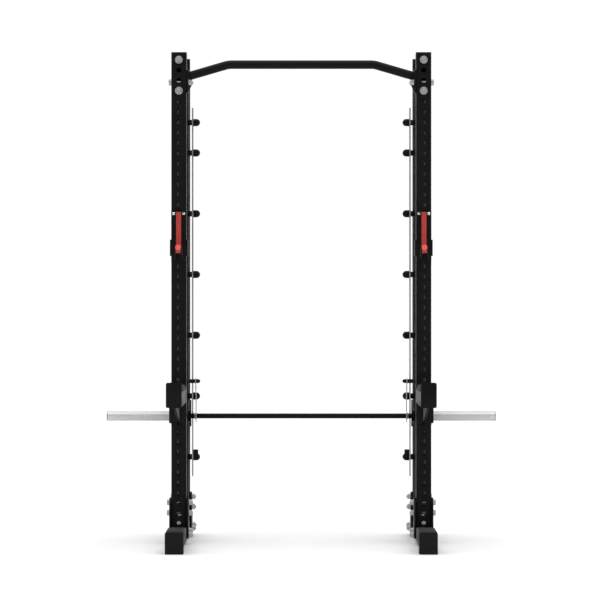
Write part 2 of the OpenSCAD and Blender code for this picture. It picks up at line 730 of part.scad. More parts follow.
module sleeve_cap() color(rubber) {
    x = sleeve_x0 + sleeve_len - cap_plug / 2;
    rod_x(x, cap_plug / 2, sleeve_d - 1, bar_y, bar_z);
    rod_x(x - cap_plug / 2, cap_plug / 2, sleeve_bore, bar_y, bar_z);
}

// ---- bar rests ----

rest_z0 = rest_low_z - 30;
rest_z1 = rest_z + 18;
rest_back_y = face_y - seat_gap;             // rear face of the rest's back plate
nose_y = rest_back_y - rest_reach + nose_d / 2;
shelf_z = rest_low_z + 13;                   // underside of the padded shelf
shelf_t = 30;
nose_z = shelf_z + shelf_t - 2.5;

// core outline in Y and Z: upright back and thick shelf
module core_2d() {
    back_y = rest_back_y - rest_t;
    difference() {
        union() {
            translate([back_y - 30, shelf_z]) square([30, rest_z1 - 6 - shelf_z]);
            translate([nose_y - nose_d / 2 + 2, shelf_z])
                square([back_y - nose_y + nose_d / 2 - 2, shelf_t]);
            translate([back_y - 48, shelf_z]) square([48, shelf_t + 18]);
        }
        translate([back_y - 48, shelf_z + shelf_t + 18]) circle(r = 18);
    }
}

module rest_core() color(red) difference() {
    union() {
        flat_x(side_x - core_w / 2, core_w) core_2d();
        rod_y_axis(nose_y - nose_d / 2, nose_d, nose_d, side_x, nose_z);
    }
    rod_x(side_x - core_w, 2 * core_w, screw_d, rest_back_y - rest_t - 15, rest_z + 4);
}

// cheek outline: a strip behind the core and a bracket under its shelf
module cheek_2d() {
    back_y = rest_back_y - rest_t;
    polygon([[back_y, rest_z1], [back_y - 22, rest_z1], [back_y - 22, shelf_z + 42],
        [back_y - 46, shelf_z + 24], [nose_y, shelf_z + 16], [nose_y, shelf_z - 6],
        [nose_y + 14, shelf_z - 12], [back_y - 30, rest_z0 + 14], [back_y, rest_z0]]);
}

module bar_rest() color(black) {
    difference() {
        union() {
            translate([post_in, rest_back_y - rest_t, rest_z0])
                cube([post_w, rest_t, rest_z1 - rest_z0]);
            for (x = [side_x - core_w / 2 - rest_t, side_x + core_w / 2])
                flat_x(x, rest_t) cheek_2d();
            translate([side_x - core_w / 2, nose_y + 6, shelf_z - 8])
                cube([core_w, rest_back_y - rest_t - nose_y - 6, 8]);
        }
        rod_x(side_x - core_w, 2 * core_w, screw_d, rest_back_y - rest_t - 15, rest_z + 4);
    }
    for (x = [post_in - seat_gap - rest_t, post_out + seat_gap])
        translate([x, rest_back_y - rest_t, rest_low_z]) cube([rest_t, 58, 80]);
    for (x = [post_in - seat_gap - rest_t, post_out])
        translate([x, rest_back_y - rest_t, rest_low_z])
            cube([rest_t + seat_gap, rest_t, 80]);
    for (z = [rest_low_z, rest_z])
        rod_y_axis(rest_back_y, pin_len, pin_d, side_x, z);
}

module rest_bolt() color(steel) translate([0, rest_back_y - rest_t - 15, rest_z + 4]) {
    x0 = side_x - core_w / 2 - rest_t;
    x1 = side_x + core_w / 2 + rest_t;
    rod_x(x0 - 13, x1 - x0 + 13, screw_d, 0, 0);
    rod_x(x1, 12, 16, 0, 0);
    translate([x0 - 8, 0, 0]) rotate([0, 90, 0]) difference() {
        cylinder(h = 8, d = 16 / cos(30), $fn = 6);
        translate([0, 0, -over]) cylinder(h = 8 + 2 * over, d = screw_d);
    }
}

// ---- safety arms ----

arm_back_y = face_y - seat_gap;
arm_z0 = arm_z - 62;
arm_plate_z0 = arm_low_z - 60;
arm_plate_z1 = arm_z + 36;

module safety_arm() color(black) {
    translate([side_x, face_y - arm_reach + lip_t, arm_z0 + arm_h / 2]) rotate([-90, 0, 0])
        linear_extrude(arm_reach - lip_t - seat_gap - flange_t) tube_2d(post_w, arm_h, post_wall, tube_r);
    translate([side_x, face_y - arm_reach, arm_z0 - 3 + lip_h / 2]) rotate([-90, 0, 0])
        linear_extrude(lip_t) rounded_rect(post_w, lip_h, 9);
    translate([post_in, arm_back_y - flange_t, arm_plate_z0])
        cube([post_w + seat_gap + plate_t, flange_t, arm_plate_z1 - arm_plate_z0]);
    flat_x(post_out + seat_gap, plate_t) polygon([
        [arm_back_y - flange_t, arm_plate_z1], [arm_back_y + 62, arm_plate_z1],
        [arm_back_y + 62, arm_plate_z0 + 17], [arm_back_y + 45, arm_plate_z0],
        [arm_back_y - flange_t, arm_plate_z0]]);
    flat_x(side_x - 5, 10) polygon([
        [arm_back_y - flange_t, arm_plate_z0], [arm_back_y - flange_t, arm_z0 + 1],
        [arm_back_y - 500, arm_z0 + 1], [arm_back_y - 492, arm_z0 - 8]]);
    for (z = [arm_low_z, arm_z]) rod_y_axis(arm_back_y - over, pin_len + over, pin_d, side_x, z);
}

// wear pad on the arm, tallest behind the end lip
module arm_pad() color(rubber) flat_x(post_in + 0.5, post_w - 1) polygon([
    [face_y - arm_reach + lip_t + 0.5, arm_z0 + arm_h],
    [face_y - arm_reach + lip_t + 0.5, arm_z0 + arm_h + pad_h],
    [face_y - pad_slope, arm_z0 + arm_h + pad_h],
    [face_y - 24, arm_z0 + arm_h + 3], [face_y - 24, arm_z0 + arm_h]]);

// ---- sliding stops on the lowest pegs ----

stop_w = 30;

module bar_stop() color(rubber) difference() {
    flat_x(catch_x0 - 0.8 - 23, 23) translate([peg_y, peg_low + (peg_r + stop_t) / 2])
        rounded_rect(stop_w + peg_d / 2, peg_r + stop_t, 4);
    rod_x(catch_x0 - 30, 40, peg_d + 2 * seat_gap, peg_y, peg_low);
    translate([0, peg_y - stop_w, peg_low - peg_d]) cube([side_x, 2 * stop_w, peg_d]);
}

on_side(-1) base_rail();  // base_rail_left
base_rail();  // base_rail_right
on_side(-1) front_boot();  // front_boot_left
front_boot();  // front_boot_right
on_side(-1) rear_boot();  // rear_boot_left
rear_boot();  // rear_boot_right
on_side(-1) foot_plates();  // foot_plates_left
foot_plates();  // foot_plates_right
on_side(-1) front_upright();  // front_upright_left
front_upright();  // front_upright_right
on_side(-1) rear_upright();  // rear_upright_left
rear_upright();  // rear_upright_right
upright_caps();
on_side(-1) top_tie();  // top_tie_left
top_tie();  // top_tie_right
pull_up_bar();
pull_up_plates();
union() { foot_bolts(); front_foot_screws(); }
foot_nuts();
tie_bolts();
union() { tie_nuts(); pull_up_nuts(); }  // top_nuts
pull_up_bolts();
on_side(-1) guide_rod();  // guide_rod_left
guide_rod();  // guide_rod_right
rod_mounts();
mount_screws();
on_side(-1) catch_post();  // catch_post_left
catch_post();  // catch_post_right
on_side(-1) catch_plate();  // catch_plate_left
catch_plate();  // catch_plate_right
catch_pegs();
peg_spacers();
peg_nuts();
on_side(-1) carriage();  // carriage_left
carriage();  // carriage_right
linear_bushes();
bar_bearings();
bar_shaft();
on_side(-1) hook();  // hook_left
hook();  // hook_right
on_side(-1) hook_handle();  // hook_handle_left
hook_handle();  // hook_handle_right
on_side(-1) sleeve();  // sleeve_left
sleeve();  // sleeve_right
on_side(-1) sleeve_bushes();  // sleeve_bushes_left
sleeve_bushes();  // sleeve_bushes_right
on_side(-1) sleeve_cap();  // sleeve_cap_left
sleeve_cap();  // sleeve_cap_right
on_side(-1) bar_rest();  // bar_rest_left
bar_rest();  // bar_rest_right
on_side(-1) rest_core();  // rest_core_left
rest_core();  // rest_core_right
on_side(-1) rest_bolt();  // rest_bolt_left
rest_bolt();  // rest_bolt_right
on_side(-1) safety_arm();  // safety_arm_left
safety_arm();  // safety_arm_right
on_side(-1) arm_pad();  // arm_pad_left
arm_pad();  // arm_pad_right
on_side(-1) bar_stop();  // bar_stop_left
bar_stop();  // bar_stop_right
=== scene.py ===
import json
import math
import bpy
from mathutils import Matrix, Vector


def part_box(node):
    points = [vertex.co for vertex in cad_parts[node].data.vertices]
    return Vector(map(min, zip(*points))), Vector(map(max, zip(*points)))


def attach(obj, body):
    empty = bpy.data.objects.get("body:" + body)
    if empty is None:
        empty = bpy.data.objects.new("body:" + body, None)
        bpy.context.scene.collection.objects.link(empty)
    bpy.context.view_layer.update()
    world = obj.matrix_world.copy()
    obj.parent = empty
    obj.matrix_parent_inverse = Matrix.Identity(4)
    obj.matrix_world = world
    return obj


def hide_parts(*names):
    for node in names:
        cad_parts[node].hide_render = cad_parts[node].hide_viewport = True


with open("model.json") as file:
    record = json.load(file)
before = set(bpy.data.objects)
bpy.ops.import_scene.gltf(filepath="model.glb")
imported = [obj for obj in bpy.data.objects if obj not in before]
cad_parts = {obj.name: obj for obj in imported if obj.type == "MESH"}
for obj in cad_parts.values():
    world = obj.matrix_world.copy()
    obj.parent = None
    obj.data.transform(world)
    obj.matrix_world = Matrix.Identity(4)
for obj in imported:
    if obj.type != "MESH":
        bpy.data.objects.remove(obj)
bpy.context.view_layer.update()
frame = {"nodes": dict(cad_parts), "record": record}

nodes = frame["nodes"]
sides = {"left": -1, "right": 1}


# ---------- small helpers ----------

def clearSelection():
    if bpy.context.object and bpy.context.object.mode != "OBJECT":
        bpy.ops.object.mode_set(mode="OBJECT")
    bpy.ops.object.select_all(action="DESELECT")


def activate(piece):
    clearSelection()
    piece.select_set(True)
    bpy.context.view_layer.objects.active = piece


def applyPlace(piece):
    activate(piece)
    bpy.ops.object.transform_apply(location=True, rotation=True, scale=True)


def addModifier(piece, kind, **values):
    modifier = piece.modifiers.new(kind.title(), kind)
    for key, value in values.items():
        setattr(modifier, key, value)
    activate(piece)
    bpy.ops.object.modifier_apply(modifier=modifier.name)


def smoothEdges(piece, degrees=35):
    activate(piece)
    bpy.ops.object.shade_smooth_by_angle(angle=math.radians(degrees))


def closeMesh(piece, gap=1e-5):
    activate(piece)
    bpy.ops.object.mode_set(mode="EDIT")
    bpy.ops.mesh.select_all(action="SELECT")
    bpy.ops.mesh.remove_doubles(threshold=gap)
    bpy.ops.mesh.normals_make_consistent(inside=False)
    bpy.ops.object.mode_set(mode="OBJECT")


def capEnds(piece):
    activate(piece)
    bpy.ops.object.mode_set(mode="EDIT")
    bpy.ops.mesh.select_all(action="SELECT")
    bpy.ops.mesh.fill_holes(sides=0)
    bpy.ops.object.mode_set(mode="OBJECT")
    closeMesh(piece)


def finishPiece(piece, material, body, replaced=()):
    piece.data.materials.clear()
    piece.data.materials.append(material)
    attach(piece, body)
    if replaced:
        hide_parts(*replaced)
    return piece


def nodeBody(nodeName):
    for body, members in frame["record"]["behaviour"]["bodies"].items():
        if nodeName in members:
            return body


def nodeSlot(nodeName):
    for row in frame["record"]["subparts"]:
        if row["node"] == nodeName:
            return row["material_slot"]


# ---------- shader node groups ----------

def newGroup(name, inputs, outputs):
    group = bpy.data.node_groups.new(name, "ShaderNodeTree")
    for label, kind, value in inputs:
        socket = group.interface.new_socket(name=label, in_out="INPUT", socket_type=kind)
        socket.default_value = value
    for label, kind in outputs:
        group.interface.new_socket(name=label, in_out="OUTPUT", socket_type=kind)
    return group, group.nodes.new("NodeGroupInput"), group.nodes.new("NodeGroupOutput")


def mathNode(tree, operation, first, second=None, clamp=False):
    node = tree.nodes.new("ShaderNodeMath")
    node.operation = operation
    node.use_clamp = clamp
    for index, value in enumerate((first, second)):
        if value is None:
            continue
        if isinstance(value, (int, float)):
            node.inputs[index].default_value = value
        else:
            tree.links.new(value, node.inputs[index])
    return node.outputs[0]


def objectNoise(tree, scale, detail):
    # scale is a number or a socket
    place = tree.nodes.new("ShaderNodeTexCoord")
    noise = tree.nodes.new("ShaderNodeTexNoise")
    noise.inputs["Detail"].default_value = detail
    tree.links.new(place.outputs["Object"], noise.inputs["Vector"])
    if isinstance(scale, (int, float)):
        noise.inputs["Scale"].default_value = scale
    else:
        tree.links.new(scale, noise.inputs["Scale"])
    return noise.outputs["Fac"]


wearLook = {"flat": 0.985, "sharpness": 6.0, "detail": 6.0, "bare": 0.42, "contrast": 5.0}


def makeEdgeWear():
    # patchy mask where the surface bends away from its rounded normal
    group, source, result = newGroup(
        "edgeWear",
        [("Amount", "NodeSocketFloat", 0.5), ("Patch Scale", "NodeSocketFloat", 60.0),
         ("Width", "NodeSocketFloat", 0.0016)],
        [("Mask", "NodeSocketFloat")])
    geometry = group.nodes.new("ShaderNodeNewGeometry")
    rounded = group.nodes.new("ShaderNodeBevel")
    rounded.samples = 6
    group.links.new(source.outputs["Width"], rounded.inputs["Radius"])
    facing = group.nodes.new("ShaderNodeVectorMath")
    facing.operation = "DOT_PRODUCT"
    group.links.new(rounded.outputs[0], facing.inputs[0])
    group.links.new(geometry.outputs["Normal"], facing.inputs[1])
    convex = mathNode(group, "SUBTRACT", wearLook["flat"], facing.outputs["Value"])
    convex = mathNode(group, "MULTIPLY", convex, wearLook["sharpness"], clamp=True)
    patches = objectNoise(group, source.outputs["Patch Scale"], wearLook["detail"])
    patches = mathNode(group, "SUBTRACT", patches, wearLook["bare"])
    patches = mathNode(group, "MULTIPLY", patches, wearLook["contrast"], clamp=True)
    mask = mathNode(group, "MULTIPLY", convex, patches)
    mask = mathNode(group, "MULTIPLY", mask, source.outputs["Amount"], clamp=True)
    group.links.new(mask, result.inputs["Mask"])
    return group


def makeGrain():
    group, source, result = newGroup(
        "surfaceGrain",
        [("Scale", "NodeSocketFloat", 700.0), ("Blotch Scale", "NodeSocketFloat", 9.0)],
        [("Height", "NodeSocketFloat"), ("Blotch", "NodeSocketFloat")])
    group.links.new(objectNoise(group, source.outputs["Scale"], 3.0), result.inputs["Height"])
    group.links.new(objectNoise(group, source.outputs["Blotch Scale"], 5.0),
                    result.inputs["Blotch"])
    return group


dustLook = {"steep": 0.75, "sharpness": 4.0, "patchScale": 26.0, "detail": 8.0}


def makeDust():
    # patchy mask on the faces that look up
    group, source, result = newGroup(
        "settledDust", [("Amount", "NodeSocketFloat", 0.3)], [("Mask", "NodeSocketFloat")])
    geometry = group.nodes.new("ShaderNodeNewGeometry")
    split = group.nodes.new("ShaderNodeSeparateXYZ")
    group.links.new(geometry.outputs["True Normal"], split.inputs[0])
    facing = mathNode(group, "SUBTRACT", split.outputs["Z"], dustLook["steep"])
    facing = mathNode(group, "MULTIPLY", facing, dustLook["sharpness"], clamp=True)
    patches = objectNoise(group, dustLook["patchScale"], dustLook["detail"])
    mask = mathNode(group, "MULTIPLY", facing, patches)
    mask = mathNode(group, "MULTIPLY", mask, source.outputs["Amount"], clamp=True)
    group.links.new(mask, result.inputs["Mask"])
    return group


def makeBrush():
    # fine lines, drawn out along the axes with a small factor
    group, source, result = newGroup(
        "brushedLines",
        [("Across X", "NodeSocketFloat", 900.0), ("Across Y", "NodeSocketFloat", 900.0),
         ("Across Z", "NodeSocketFloat", 12.0)],
        [("Line", "NodeSocketFloat")])
    place = group.nodes.new("ShaderNodeTexCoord")
    spread = group.nodes.new("ShaderNodeCombineXYZ")
    for label, axis in (("Across X", "X"), ("Across Y", "Y"), ("Across Z", "Z")):
        group.links.new(source.outputs[label], spread.inputs[axis])
    stretched = group.nodes.new("ShaderNodeVectorMath")
    stretched.operation = "MULTIPLY"
    group.links.new(place.outputs["Object"], stretched.inputs[0])
    group.links.new(spread.outputs[0], stretched.inputs[1])
    noise = group.nodes.new("ShaderNodeTexNoise")
    noise.inputs["Scale"].default_value = 1.0
    noise.inputs["Detail"].default_value = 3.0
    group.links.new(stretched.outputs[0], noise.inputs["Vector"])
    group.links.new(noise.outputs["Fac"], result.inputs["Line"])
    return group


def makeKnurl():
    # crossed spiral lines round an axis along X, through the given Y and Z
    group, source, result = newGroup(
        "crossKnurl",
        [("Axis Y", "NodeSocketFloat", 0.0), ("Axis Z", "NodeSocketFloat", 0.0),
         ("Lines", "NodeSocketFloat", 26.0), ("Pitch", "NodeSocketFloat", 2600.0)],
        [("Height", "NodeSocketFloat")])
    place = group.nodes.new("ShaderNodeTexCoord")
    split = group.nodes.new("ShaderNodeSeparateXYZ")
    group.links.new(place.outputs["Object"], split.inputs[0])
    across = mathNode(group, "SUBTRACT", split.outputs["Y"], source.outputs["Axis Y"])
    up = mathNode(group, "SUBTRACT", split.outputs["Z"], source.outputs["Axis Z"])
    turn = mathNode(group, "ARCTAN2", up, across)
    turn = mathNode(group, "MULTIPLY", turn, source.outputs["Lines"])
    along = mathNode(group, "MULTIPLY", split.outputs["X"], source.outputs["Pitch"])
    first = mathNode(group, "SINE", mathNode(group, "ADD", turn, along))
    second = mathNode(group, "SINE", mathNode(group, "SUBTRACT", turn, along))
    height = mathNode(group, "MINIMUM", first, second)
    group.links.new(height, result.inputs["Height"])
    return group


groups = {"wear": makeEdgeWear(), "grain": makeGrain(), "dust": makeDust(),
          "brush": makeBrush(), "knurl": makeKnurl()}
print("node groups ready")


# ---------- materials ----------

def placeGroup(tree, key, **values):
    node = tree.nodes.new("ShaderNodeGroup")
    node.node_tree = groups[key]
    for label, value in values.items():
        node.inputs[label.replace("_", " ")].default_value = value
    return node


def mixColor(tree, factor, first, second):
    mix = tree.nodes.new("ShaderNodeMix")
    mix.data_type = "RGBA"
    tree.links.new(factor, mix.inputs["Factor"])
    for socket, value in ((mix.inputs[6], first), (mix.inputs[7], second)):
        if isinstance(value, tuple):
            socket.default_value = (*value, 1.0)
        else:
            tree.links.new(value, socket)
    return mix.outputs[2]


def spreadValue(tree, factor, low, high):
    spread = tree.nodes.new("ShaderNodeMapRange")
    spread.inputs["From Min"].default_value = 0.3
    spread.inputs["From Max"].default_value = 0.7
    spread.inputs["To Min"].default_value = low
    spread.inputs["To Max"].default_value = high
    tree.links.new(factor, spread.inputs["Value"])
    return spread.outputs["Result"]


def newMaterial(name):
    material = bpy.data.materials.new(name)
    material.use_nodes = True
    tree = material.node_tree
    return material, tree, tree.nodes["Principled BSDF"]


def addBump(tree, shader, height, strength, distance):
    bump = tree.nodes.new("ShaderNodeBump")
    bump.inputs["Strength"].default_value = strength
    bump.inputs["Distance"].default_value = distance
    tree.links.new(height, bump.inputs["Height"])
    tree.links.new(bump.outputs["Normal"], shader.inputs["Normal"])


# painted highlight: how far behind the foremost faces the brighter colour fades out
paintedHighlightLook = {"solid": 0.0008, "gone": 0.0016}


def paintedHighlightMask(tree, startY):
    # painted highlight mask: one at the foremost faces of a piece, zero behind them
    place = tree.nodes.new("ShaderNodeTexCoord")
    split = tree.nodes.new("ShaderNodeSeparateXYZ")
    tree.links.new(place.outputs["Object"], split.inputs[0])
    fade = tree.nodes.new("ShaderNodeMapRange")
    fade.inputs["From Min"].default_value = startY + paintedHighlightLook["solid"]
    fade.inputs["From Max"].default_value = startY + paintedHighlightLook["gone"]
    fade.inputs["To Min"].default_value = 1.0
    fade.inputs["To Max"].default_value = 0.0
    tree.links.new(split.outputs["Y"], fade.inputs["Value"])
    return fade.outputs["Result"]


def makeFinish(name, look):
    # one layered finish: blotched base, grain bump, worn edges, settled dust, and where given a
    # painted highlight on the foremost faces
    material, tree, shader = newMaterial(name)
    grain = placeGroup(tree, "grain", Scale=look["grainScale"], Blotch_Scale=look["blotchScale"])
    wear = placeGroup(tree, "wear", Amount=look["wear"], Patch_Scale=look["wearScale"])
    dust = placeGroup(tree, "dust", Amount=look["dust"])
    color = mixColor(tree, grain.outputs["Blotch"], look["dark"], look["light"])
    color = mixColor(tree, wear.outputs["Mask"], color, look["worn"])
    color = mixColor(tree, dust.outputs["Mask"], color, look["dustColor"])
    # painted highlight: the foremost faces take a brighter colour standing in for the light they
    # catch
    if look["tipColor"]:
        color = mixColor(tree, paintedHighlightMask(tree, look["tipStart"]), color, look["tipColor"])
    tree.links.new(color, shader.inputs["Base Color"])
    rough = spreadValue(tree, grain.outputs["Blotch"], look["roughLow"], look["roughHigh"])
    tree.links.new(mathNode(tree, "ADD", rough, dust.outputs["Mask"], clamp=True),
                   shader.inputs["Roughness"])
    shader.inputs["Metallic"].default_value = look["metallic"]
    shader.inputs["Specular IOR Level"].default_value = look["gloss"]
    if look["coat"]:
        shader.inputs["Coat Weight"].default_value = look["coat"]
        shader.inputs["Coat Roughness"].default_value = look["coatRough"]
    height = grain.outputs["Height"]
    if look["brush"]:
        lines = placeGroup(tree, "brush", Across_X=look["brush"][0], Across_Y=look["brush"][1],
                           Across_Z=look["brush"][2])
        lineHeight = mathNode(tree, "MULTIPLY", lines.outputs[0], look["lineHeight"])
        height = mathNode(tree, "ADD", height, lineHeight)
    if look["knurl"]:
        axisY, axisZ, lines, pitch = look["knurl"]
        knurl = placeGroup(tree, "knurl", Axis_Y=axisY, Axis_Z=axisZ, Lines=lines, Pitch=pitch)
        height = mathNode(tree, "MULTIPLY", height, look["grainUnderKnurl"])
        height = mathNode(tree, "ADD", height, knurl.outputs[0])
    addBump(tree, shader, height, look["bump"], look["bumpDepth"])
    return material


finishBase = {"grainScale": 700, "blotchScale": 9, "wear": 0.4, "wearScale": 60, "dust": 0.12,
              "dark": (0.0038, 0.0038, 0.0042), "light": (0.0062, 0.0062, 0.0068),
              "worn": (0.06, 0.06, 0.063), "dustColor": (0.10, 0.097, 0.09),
              "roughLow": 0.36, "roughHigh": 0.48, "metallic": 0.0, "gloss": 0.1, "coat": 0.0,
              "coatRough": 0.3, "tipStart": 0.0, "tipColor": None, "brush": None,
              "lineHeight": 1.6, "knurl": None, "grainUnderKnurl": 0.3, "bump": 0.18,
              "bumpDepth": 0.0006}


def finish(name, **changes):
    return makeFinish(name, {**finishBase, **changes})


shaftLow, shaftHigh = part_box("bar_shaft")
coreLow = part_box("rest_core_right")[0]
barY = (shaftLow.y + shaftHigh.y) / 2
barZ = (shaftLow.z + shaftHigh.z) / 2

finishes = {
    "black_paint": finish("blackPowderCoat"),
    "zinc_steel": finish(
        "satinZinc", dark=(0.35, 0.36, 0.38), light=(0.47, 0.48, 0.495), worn=(0.64, 0.65, 0.67),
        wear=0.4, metallic=0.85, roughLow=0.3, roughHigh=0.46, blotchScale=120, grainScale=1500,
        bump=0.1, bumpDepth=0.0003, dust=0.1),
    "bright_steel": finish(
        "groundRod", dark=(0.62, 0.63, 0.65), light=(0.72, 0.73, 0.75), worn=(0.8, 0.8, 0.82),
        metallic=1.0, roughLow=0.1, roughHigh=0.2, brush=(14, 14, 2200), bump=0.05,
        bumpDepth=0.0002, wear=0.2, dust=0.05),
    "sleeve_steel": finish(
        "ridgedSleeve", dark=(0.61, 0.62, 0.635), light=(0.67, 0.68, 0.695),
        worn=(0.82, 0.82, 0.83), metallic=0.6, roughLow=0.36, roughHigh=0.46, bump=0.35,
        bumpDepth=0.0006, wear=0.4, knurl=(barY, barZ, 24.0, 900.0), dust=0.05),
    "bronze": finish(
        "turnedBronze", dark=(0.33, 0.2, 0.08), light=(0.48, 0.31, 0.13), worn=(0.7, 0.5, 0.25),
        metallic=1.0, roughLow=0.28, roughHigh=0.42, brush=(1200, 14, 14), bump=0.08,
        bumpDepth=0.0003),
    # the front of the red rest nose gets a painted highlight, a brighter red standing in for
    # light caught by its rounded front
    "red_plastic": finish(
        "redLiner", dark=(0.36, 0.04, 0.034), light=(0.44, 0.052, 0.045), worn=(0.62, 0.16, 0.13),
        roughLow=0.3, roughHigh=0.44, wear=0.8, wearScale=90, blotchScale=24, grainScale=1300,
        bump=0.12, bumpDepth=0.0004, dust=0.06, coat=0.15, tipStart=coreLow.y,
        tipColor=(0.8, 0.12, 0.095)),
    "black_rubber": finish(
        "mouldedRubber", dark=(0.0055, 0.0055, 0.006), light=(0.009, 0.009, 0.0095),
        worn=(0.03, 0.03, 0.03), roughLow=0.55, roughHigh=0.75, grainScale=1700, wear=0.5,
        bump=0.35, bumpDepth=0.0005, dust=0.1, gloss=0.13),
    "dark_steel": finish(
        "phosphateSteel", dark=(0.010, 0.010, 0.011), light=(0.016, 0.016, 0.017),
        worn=(0.12, 0.12, 0.125), metallic=0.2, roughLow=0.42, roughHigh=0.54, wear=0.4,
        brush=(40, 40, 1800), bump=0.08, bumpDepth=0.0003, gloss=0.12, dust=0.03),
    "black_oxide": finish(
        "blackOxide", dark=(0.0035, 0.0035, 0.004), light=(0.006, 0.006, 0.0065),
        worn=(0.05, 0.05, 0.05), metallic=0.0, gloss=0.1, roughLow=0.42, roughHigh=0.54, bump=0.4,
        bumpDepth=0.0006, knurl=(barY, barZ, 34.0, 2700.0), dust=0.03),
}
finishes["brushed_plate"] = finish(
    "brushedPlate", dark=(0.38, 0.39, 0.40), light=(0.48, 0.49, 0.5), worn=(0.72, 0.72, 0.74),
    metallic=0.9, roughLow=0.3, roughHigh=0.42, brush=(900, 900, 10), bump=0.12,
    bumpDepth=0.0003, wear=0.5, dust=0.04)
print("finishes ready")


# ---------- carried-over nodes ----------

cleanLook = {"merge": 2e-6, "flat": 0.6, "segments": 2, "bevelAbove": 38, "smoothBelow": 40}


def softenedCopy(nodeName, width):
    # a merged copy of a plain node, its edges broken by a small bevel
    source = nodes[nodeName]
    piece = bpy.data.objects.new(nodeName + "Soft", source.data.copy())
    bpy.context.scene.collection.objects.link(piece)
    activate(piece)
    bpy.ops.object.mode_set(mode="EDIT")
    bpy.ops.mesh.select_all(action="SELECT")
    bpy.ops.mesh.remove_doubles(threshold=cleanLook["merge"])
    bpy.ops.mesh.dissolve_limited(angle_limit=math.radians(cleanLook["flat"]))
    bpy.ops.object.mode_set(mode="OBJECT")
    addModifier(piece, "BEVEL", width=width, segments=cleanLook["segments"],
                limit_method="ANGLE", angle_limit=math.radians(cleanLook["bevelAbove"]),
                use_clamp_overlap=True)
    smoothEdges(piece, cleanLook["smoothBelow"])
    return piece


# width of the broken edges of each family of nodes
softEdges = {
    "base_rail": 0.0006, "front_boot": 0.004, "rear_boot": 0.004, "foot_plates": 0.0014,
    "front_upright": 0.0007, "rear_upright": 0.0007, "upright_caps": 0.0014,
    "top_tie": 0.0008, "pull_up_plates": 0.0014, "foot_bolts": 0.0007, "foot_nuts": 0.0007,
    "tie_bolts": 0.0008, "top_nuts": 0.0008, "pull_up_bolts": 0.0007, "rod_mounts": 0.002,
    "mount_screws": 0.0007, "catch_post": 0.0007, "catch_plate": 0.0008,
    "catch_pegs": 0.0005, "peg_spacers": 0.0006, "peg_nuts": 0.0007, "carriage": 0.0015,
    "linear_bushes": 0.0005, "bar_bearings": 0.0005, "bar_shaft": 0.001, "hook": 0.0009,
    "bar_rest": 0.0012, "rest_core": 0.0016, "rest_bolt": 0.0005, "safety_arm": 0.001,
    "arm_pad": 0.002, "bar_stop": 0.0018, "guide_rod": 0.001,
}
newModels = ("pull_up_bar", "sleeve", "sleeve_cap", "hook_handle")


def familyOf(nodeName):
    return nodeName.removesuffix("_left").removesuffix("_right")


def dressNodes():
    for nodeName, source in nodes.items():
        family = familyOf(nodeName)
        if family in newModels:
            continue
        slotName = nodeSlot(nodeName)
        look = finishes["brushed_plate" if family == "catch_plate" else slotName]
        if family not in softEdges:
            source.data.materials.clear()
            source.data.materials.append(look)
            continue
        piece = softenedCopy(nodeName, softEdges[family])
        finishPiece(piece, look, nodeBody(nodeName), [nodeName])
    print("plain nodes softened and painted")


dressNodes()


# ---------- turned pieces ----------

def turnedPiece(name, profile, centerY, centerZ, sides=64):
    # a ring at the first point, extruded and resized from point to point along X
    startX, startR = profile[0]
    clearSelection()
    bpy.ops.mesh.primitive_circle_add(vertices=sides, radius=startR, fill_type="NOTHING",
                                      location=(startX, centerY, centerZ),
                                      rotation=(0, math.pi / 2, 0))
    piece = bpy.context.object
    piece.name = name
    applyPlace(piece)
    bpy.ops.object.mode_set(mode="EDIT")
    bpy.ops.mesh.select_all(action="SELECT")
    lastX, lastR = startX, startR
    for x, radius in profile[1:]:
        bpy.ops.mesh.extrude_region_move(TRANSFORM_OT_translate={"value": (x - lastX, 0, 0)})
        ratio = radius / lastR
        bpy.ops.transform.resize(value=(1, ratio, ratio), center_override=(x, centerY, centerZ))
        lastX, lastR = x, radius
    bpy.ops.object.mode_set(mode="OBJECT")
    closeMesh(piece, 2e-5)
    smoothEdges(piece, 32)
    return piece


sleeveLook = {"ridgePitch": 0.00984, "grooveWidth": 0.0049, "grooveDepth": 0.0016,
              "grooveEdge": 0.0005, "collarLength": 0.012, "chamfer": 0.0015, "bore": 0.017,
              "plainEnd": 0.010}


def plateSleeve(side, sign):
    low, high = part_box("sleeve_" + side)
    inner, outer = (low.x, high.x) if sign > 0 else (high.x, low.x)
    radius = (high.z - low.z) / 2
    look = sleeveLook
    chamfer = look["chamfer"]
    length = abs(outer - inner)
    steps = [(0, look["bore"]), (0, radius - chamfer), (chamfer, radius),
             (look["collarLength"], radius)]
    count = int((length - look["collarLength"] - look["plainEnd"]) / look["ridgePitch"])
    for index in range(count):
        start = look["collarLength"] + index * look["ridgePitch"]
        floorR = radius - look["grooveDepth"]
        steps += [(start + look["grooveEdge"], floorR), (start + look["grooveWidth"], floorR),
                  (start + look["grooveWidth"] + look["grooveEdge"], radius),
                  (start + look["ridgePitch"], radius)]
    steps += [(length - chamfer, radius), (length, radius - chamfer), (length, look["bore"]),
              (0, look["bore"])]
    profile = [(inner + sign * x, r) for x, r in steps]
    piece = turnedPiece("plateSleeve" + side.title(), profile, barY, barZ)
    return finishPiece(piece, finishes["sleeve_steel"], side + "_sleeve",
                       ["sleeve_" + side])


capLook = {"plug": 0.0168, "axisHole": 0.0005, "edge": 0.0004, "rimStart": 0.002,
           "dome": 0.0012, "domeDrop": 0.0016, "faceSink": 0.0006, "ringGroove": 0.0009,
           "ringOuter": 0.8, "grooveOuter": 0.78, "grooveInner": 0.7, "crownOuter": 0.68,
           "crownSink": 0.0003, "crownInner": 0.3}


